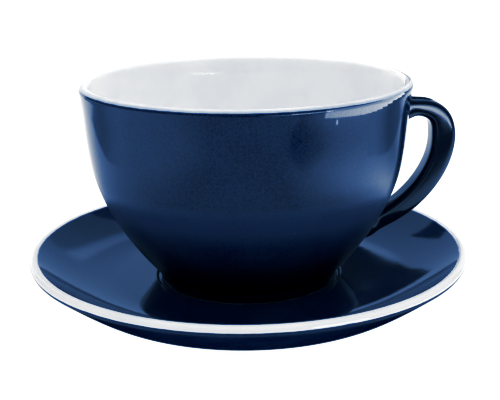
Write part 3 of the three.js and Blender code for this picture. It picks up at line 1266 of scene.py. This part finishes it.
@dataclass
class Mirrored:
    """What the glaze mirrors: glowing cards and small lamps that show only as reflections.

    All its places and lengths are in millimetres.

    Attributes:
        stand: The studio's own frame.
        table_height: Height of the table's card.
        patch_height: Height of the two darker patches on the table.
        backdrop_depth: How far behind the cup's axis the backdrop stands.
        screen_depth: How far behind it a small dark screen stands.
        ceiling_height: Height of the ceiling.
        dark: Glow of the dark screens.
        bow_lamps: How many lamps make up the bow in front of the lip.
        bow_start: Direction of the bow's first end, in degrees.
        bow_sweep: How far round it goes, in degrees.
        bow_radius: Its distance from the axis at the first end.
        bow_closing: How much nearer to the axis its last end is.
        bow_low: Height of its lower edge at the first end.
        bow_climb: How much higher the lower edge is at the last end.
        bow_top: Height of its upper edge.
        bow_glow: How brightly it glows.
        side_start: First end of the lower edge of the lamp for the handle.
        side_stop: Last end of that edge.
        side_rise: The lamp's height.
        side_glow: How brightly it glows.
        spark_start: First end of the lower edge of the small spark under the lip.
        spark_stop: Last end of that edge.
        spark_rise: The spark's height.
        spark_glow: How brightly it glows.
    """

    stand: Matrix
    table_height: float = 0.2
    patch_height: float = 0.4
    backdrop_depth: float = 800.0
    screen_depth: float = 300.0
    ceiling_height: float = 1200.0
    dark: float = 0.02
    bow_lamps: int = 14
    bow_start: float = -62.0
    bow_sweep: float = 41.6
    bow_radius: float = 64.0
    bow_closing: float = 3.7
    bow_low: float = 72.1
    bow_climb: float = 6.9
    bow_top: float = 81.4
    bow_glow: float = 5.2
    side_start: Place = (150.0, -300.0, 5.0)
    side_stop: Place = (420.0, -300.0, 5.0)
    side_rise: float = 97.0
    side_glow: float = 6.5
    spark_start: Place = (36.8, -54.6, 69.0)
    spark_stop: Place = (38.0, -54.2, 69.0)
    spark_rise: float = 1.2
    spark_glow: float = 7.0

    @staticmethod
    def table_glow(x: Value, y: Value, _: Value) -> Value:
        """The table: dark under the saucer, paler further out, with a bright sheet by the handle.

        Args:
            x: How far right a point is.
            y: How far back it is.

        Returns:
            The glow.
        """
        reach = away(x, y)
        back = y.rise(60, 200)
        left = x.fall(-180, -60) * (1 - back)
        plain = (0.40 + 0.22 * reach.rise(80, 120)) * y.rise(-275, -222) + 0.8 * left + 0.9 * back
        beside_handle = 1 - x.rise(85, 110) * y.fall(-170, -130)
        right = x.rise(40, 150) * y.rise(-220, -60) * y.fall(-30, 110) * reach.rise(78, 135)
        window = 2.7 * right * (1 - 0.45 * x.rise(150, 260))
        sheet = 5.5 * x.rise(90, 115) * y.fall(-325, -290)
        return plain * beside_handle * reach.rise(62, 78) + window + sheet

    @staticmethod
    def left_glow(_: Value, y: Value, __: Value) -> Value:
        """The left patch, brighter towards the camera."""
        return 0.48 + 0.95 * y.fall(-30, 90)

    @staticmethod
    def right_glow(_: Value, y: Value, __: Value) -> Value:
        """The right patch, brighter towards the camera."""
        return 0.45 + 1.65 * y.fall(-30, 80)

    @staticmethod
    def backdrop_glow(x: Value, _: Value, z: Value) -> Value:
        """The backdrop: even, with a bright and a dark stretch higher up and a bright one at the lower left.

        Args:
            x: How far right a point is.
            z: How high it is.

        Returns:
            The glow.
        """
        side = 0.6 * x.rise(0, 55) * x.fall(80, 150) - 0.35 * x.rise(110, 180)
        return 0.95 + side * z.rise(320, 400) + 0.5 * x.fall(-240, -140) * z.fall(100, 200)

    @staticmethod
    def ceiling_glow(_: Value, y: Value, __: Value) -> Value:
        """The ceiling, brighter towards the back."""
        return 0.6 + 0.8 * y.rise(-100, 250)

    def card(self, name: str, corners: Sequence[Place], glow: Union[float, Glow]) -> None:
        """Hangs a glowing card that shows only as a reflection in the glaze.

        Args:
            name: The card's name.
            corners: Its corners in order.
            glow: How brightly it glows, or how that follows from the place on it.
        """
        Bench.clear()
        bpy.ops.mesh.primitive_circle_add(vertices=len(corners), fill_type="NGON")
        card = bpy.context.object
        card.name = name
        for vertex, corner in zip(card.data.vertices, corners):
            vertex.co = Vector(corner) * MM
        card.matrix_world = self.stand
        material, tree = new_material(name)
        if callable(glow):
            _, *axes = tree.whereabouts()
            tree.surface("ShaderNodeEmission", {"Color": glow(*(axis / MM for axis in axes))})
        else:
            tree.surface("ShaderNodeEmission", {"Color": WHITE, "Strength": glow})
        card.data.materials.append(material)
        show_only(card, Ray.GLOSSY)

    def level(self, name: str, height: float, corners: Sequence[Point], glow: Glow) -> None:
        """Hangs a level card, with its corners seen from above."""
        self.card(name, [(x, y, height) for x, y in corners], glow)

    def upright(self, name: str, depth: float, corners: Sequence[Point], glow: Union[float, Glow]) -> None:
        """Hangs an upright card behind the cup, with its corners seen from the front."""
        self.card(name, [(x, depth, z) for x, z in corners], glow)

    def lamp(self, name: str, start: Place, stop: Place, rise: float, glow: float) -> None:
        """Hangs a small upright lamp that shows only as a highlight in the glaze.

        Args:
            name: The lamp's name.
            start: One end of its lower edge.
            stop: The other end, with the lamp facing to the left of the way from start to stop.
            rise: Its height.
            glow: How brightly it glows.
        """
        along = (Vector(stop) - Vector(start)) * MM
        side = along.normalized()
        back = side.cross(Vector((0, 0, 1))).normalized()
        up = back.cross(side)
        size = (along.length, rise * MM)
        middle = Vector(start) * MM + along / 2 + up * (rise * MM / 2)
        turned = Matrix((side, up, back)).transposed().to_4x4()
        place = self.stand @ Matrix.Translation(middle) @ turned
        area_light(name, size, glow * math.pi * size[0] * size[1], place, Ray.GLOSSY)

    def cards(self) -> None:
        """Hangs the table with its two darker patches, the backdrop, two dark screens and the ceiling."""
        table = [(-700, -700), (700, -700), (700, 800), (-700, 800)]
        left = [(-188, -30), (-188, 10), (-195, 44), (-218, 81), (-234, 121), (-243, 153), (-236, 210)]
        right = [(207, -30), (205, 20), (206, 60), (220, 102), (235, 141), (240, 160), (231, 185)]
        backdrop = [(-900, 0), (900, 0), (900, 1000), (-900, 1000)]
        screen = [(42, 69), (40, 100), (46, 118), (52, 136), (85, 142), (140, 138), (140, 64), (60, 60)]
        dark_side = [(-420, 370), (-190, 370), (-180, 560), (-420, 560)]
        ceiling = [(-600, -1000), (400, -1000), (400, 750), (-600, 750)]
        self.level("table", self.table_height, table, self.table_glow)
        self.level("left_dark", self.patch_height, [*left, (-420, 420), (-420, -30)], self.left_glow)
        self.level("right_dark", self.patch_height, [*right, (690, 560), (690, -30)], self.right_glow)
        self.upright("backdrop", self.backdrop_depth, backdrop, self.backdrop_glow)
        self.upright("screen", self.screen_depth, screen, self.dark)
        self.upright("dark_side", self.backdrop_depth - 2, dark_side, self.dark)
        self.level("ceiling", self.ceiling_height, ceiling, self.ceiling_glow)

    def lamps(self) -> None:
        """Hangs the bow of lamps in front of the lip, the handle's lamp and the spark."""
        shares = [number / self.bow_lamps for number in range(self.bow_lamps + 1)]
        bow = [
            polar(self.bow_start + self.bow_sweep * share, self.bow_radius - self.bow_closing * share)
            for share in shares
        ]
        for number, (start, stop) in enumerate(zip(bow, bow[1:])):
            low = self.bow_low + self.bow_climb * ((number + 0.5) / self.bow_lamps) ** 4
            self.lamp("lip_lamp", (*start, low), (*stop, low), self.bow_top - low, self.bow_glow)
        self.lamp("side_lamp", self.side_start, self.side_stop, self.side_rise, self.side_glow)
        self.lamp("spark", self.spark_start, self.spark_stop, self.spark_rise, self.spark_glow)

    def build(self) -> None:
        """Hangs everything."""
        self.cards()
        self.lamps()


@dataclass
class Studio:
    """Pale floor, soft light, what the glaze mirrors, and the camera at the photograph's angle.

    Attributes:
        lens: The camera's focal length in millimetres.
        sensor: The width of its sensor in millimetres.
        camera_place: Where the camera stands.
        camera_pitch: How far it looks down, in degrees.
        camera_roll: How far it leans to its left, in degrees.
        turn: How far the whole studio is turned about the upright axis, in degrees.
        floor_size: Side of the floor.
        floor_shade: Colour of the floor.
        floor_glow: How brightly the floor is lit from within.
        room_soft: The room's soft light.
        room_mirrored: The room where the glaze mirrors it.
        top_place: Where the top light hangs.
        top_aim: The point that it faces.
        top_size: Its width and height.
        top_power: Its power in watts.
        black: Light level that the picture shows as black.
        red: How the picture's red follows the light, as points.
        green: How the picture's green follows the light, as points.
    """

    lens: float = 72.45
    sensor: float = 36.0
    camera_place: Place = (0.9 * MM, -345.69 * MM, 137.28 * MM)
    camera_pitch: float = 16.303
    camera_roll: float = -0.80
    turn: float = -4.0
    floor_size: float = 6.0
    floor_shade: Colour = (0.2, 0.2, 0.2, 1.0)
    floor_glow: float = 0.98
    room_soft: Colour = (0.87, 0.87, 0.87, 1.0)
    room_mirrored: Colour = (0.12, 0.12, 0.12, 1.0)
    top_place: Place = (0.12, 0.12, 1.0)
    top_aim: Place = (0, 0, 0.05)
    top_size: Point = (0.7, 0.5)
    top_power: float = 4.6
    black: float = 0.0015
    red: tuple[Point, ...] = (
        (0.03, 0.0068),
        (0.16, 0.027),
        (0.255, 0.056),
        (0.33, 0.138),
        (0.425, 0.262),
        (0.597, 0.495),
        (0.76, 0.738),
    )
    green: tuple[Point, ...] = (
        (0.033, 0.0176),
        (0.166, 0.0685),
        (0.258, 0.119),
        (0.335, 0.212),
        (0.43, 0.330),
        (0.597, 0.537),
        (0.76, 0.745),
    )

    @property
    def stand(self) -> Matrix:
        """The studio's own frame."""
        return Matrix.Rotation(math.radians(self.turn), 4, "Z")

    def camera(self) -> None:
        """Places the camera."""
        data = bpy.data.cameras.new("camera")
        data.lens = self.lens
        data.sensor_width = self.sensor
        data.clip_start = 10 * MM
        camera = bpy.data.objects.new("camera", data)
        bpy.context.collection.objects.link(camera)
        tilt = Matrix.Rotation(math.radians(90 - self.camera_pitch), 4, "X")
        lean = Matrix.Rotation(math.radians(self.camera_roll), 4, "Z")
        camera.matrix_world = self.stand @ Matrix.Translation(self.camera_place) @ tilt @ lean
        bpy.context.scene.camera = camera

    def floor(self) -> None:
        """Lays a plain pale floor, faintly lit from within so that it stays pale in the shade."""
        Bench.clear()
        bpy.ops.mesh.primitive_plane_add(size=self.floor_size, location=(0, 0, 0))
        floor = bpy.context.object
        floor.name = "floor"
        material, tree = new_material("pale_floor")
        shade = {"Base Color": self.floor_shade, "Roughness": 1.0, "Specular IOR Level": 0.0}
        glow = {"Emission Color": WHITE, "Emission Strength": self.floor_glow}
        tree.surface("ShaderNodeBsdfPrincipled", shade | glow)
        floor.data.materials.append(material)
        show_only(floor, Ray.CAMERA, Ray.DIFFUSE, Ray.TRANSMISSION, Ray.SHADOW)

    def world(self) -> None:
        """Surrounds the set with soft light, dark where the glaze mirrors it and white to the camera."""
        world = bpy.data.worlds.new("room")
        world.use_nodes = True
        bpy.context.scene.world = world
        tree = ShaderTree(world.node_tree)
        paths = tree.node("ShaderNodeLightPath", {}, {})
        soft = tree.mix(paths.outputs["Is Glossy Ray"], self.room_soft, self.room_mirrored)
        colour = tree.mix(paths.outputs["Is Camera Ray"], soft, WHITE)
        sky = tree.node("ShaderNodeBackground", {}, {"Color": colour, "Strength": 1.0})
        tree.node("ShaderNodeOutputWorld", {}, {"Surface": sky.outputs[0]})

    def top_light(self) -> None:
        """Hangs a large soft light above the set."""
        facing = (Vector(self.top_aim) - Vector(self.top_place)).to_track_quat("-Z", "Y")
        place = self.stand @ Matrix.Translation(self.top_place) @ facing.to_matrix().to_4x4()
        area_light("top_light", self.top_size, self.top_power, place, Ray.DIFFUSE, Ray.TRANSMISSION)

    def tones(self) -> None:
        """Sets how the picture's tones follow the light."""
        view = bpy.context.scene.view_settings
        view.view_transform = "Standard"
        view.use_curve_mapping = True
        view.curve_mapping.black_level = (self.black, self.black, self.black)
        for curve, tones in zip(view.curve_mapping.curves, (self.red, self.green)):
            for tone in tones:
                curve.points.new(*tone)
        view.curve_mapping.update()

    def build(self) -> None:
        """Sets up everything around the object."""
        self.tones()
        self.camera()
        self.floor()
        self.world()
        Mirrored(self.stand).build()
        self.top_light()


def area_light(name: str, size: Point, power: float, place: Matrix, *rays: Ray) -> None:
    """Hangs a rectangular light.

    Args:
        name: The light's name.
        size: Its width and height.
        power: Its power in watts.
        place: Where its middle is and how it is turned.
        rays: The light paths that it shows to.
    """
    data = bpy.data.lights.new(name, "AREA")
    data.shape = "RECTANGLE"
    data.size, data.size_y = size
    data.energy = power
    light = bpy.data.objects.new(name, data)
    bpy.context.collection.objects.link(light)
    light.matrix_world = place
    show_only(light, *rays)


def show_only(thing: bpy.types.Object, *rays: Ray) -> None:
    """Shows a studio object to some kinds of light path alone."""
    for ray in Ray:
        setattr(thing, ray.value, ray in rays)


def main() -> None:
    """Builds the saucer, the cup and the studio in order."""
    logging.basicConfig(level=logging.INFO, format="%(message)s")
    saucer = Saucer()
    saucer.build()
    Cup(seat=saucer.well_height).build()
    Studio().build()


if __name__ == "__main__":
    main()
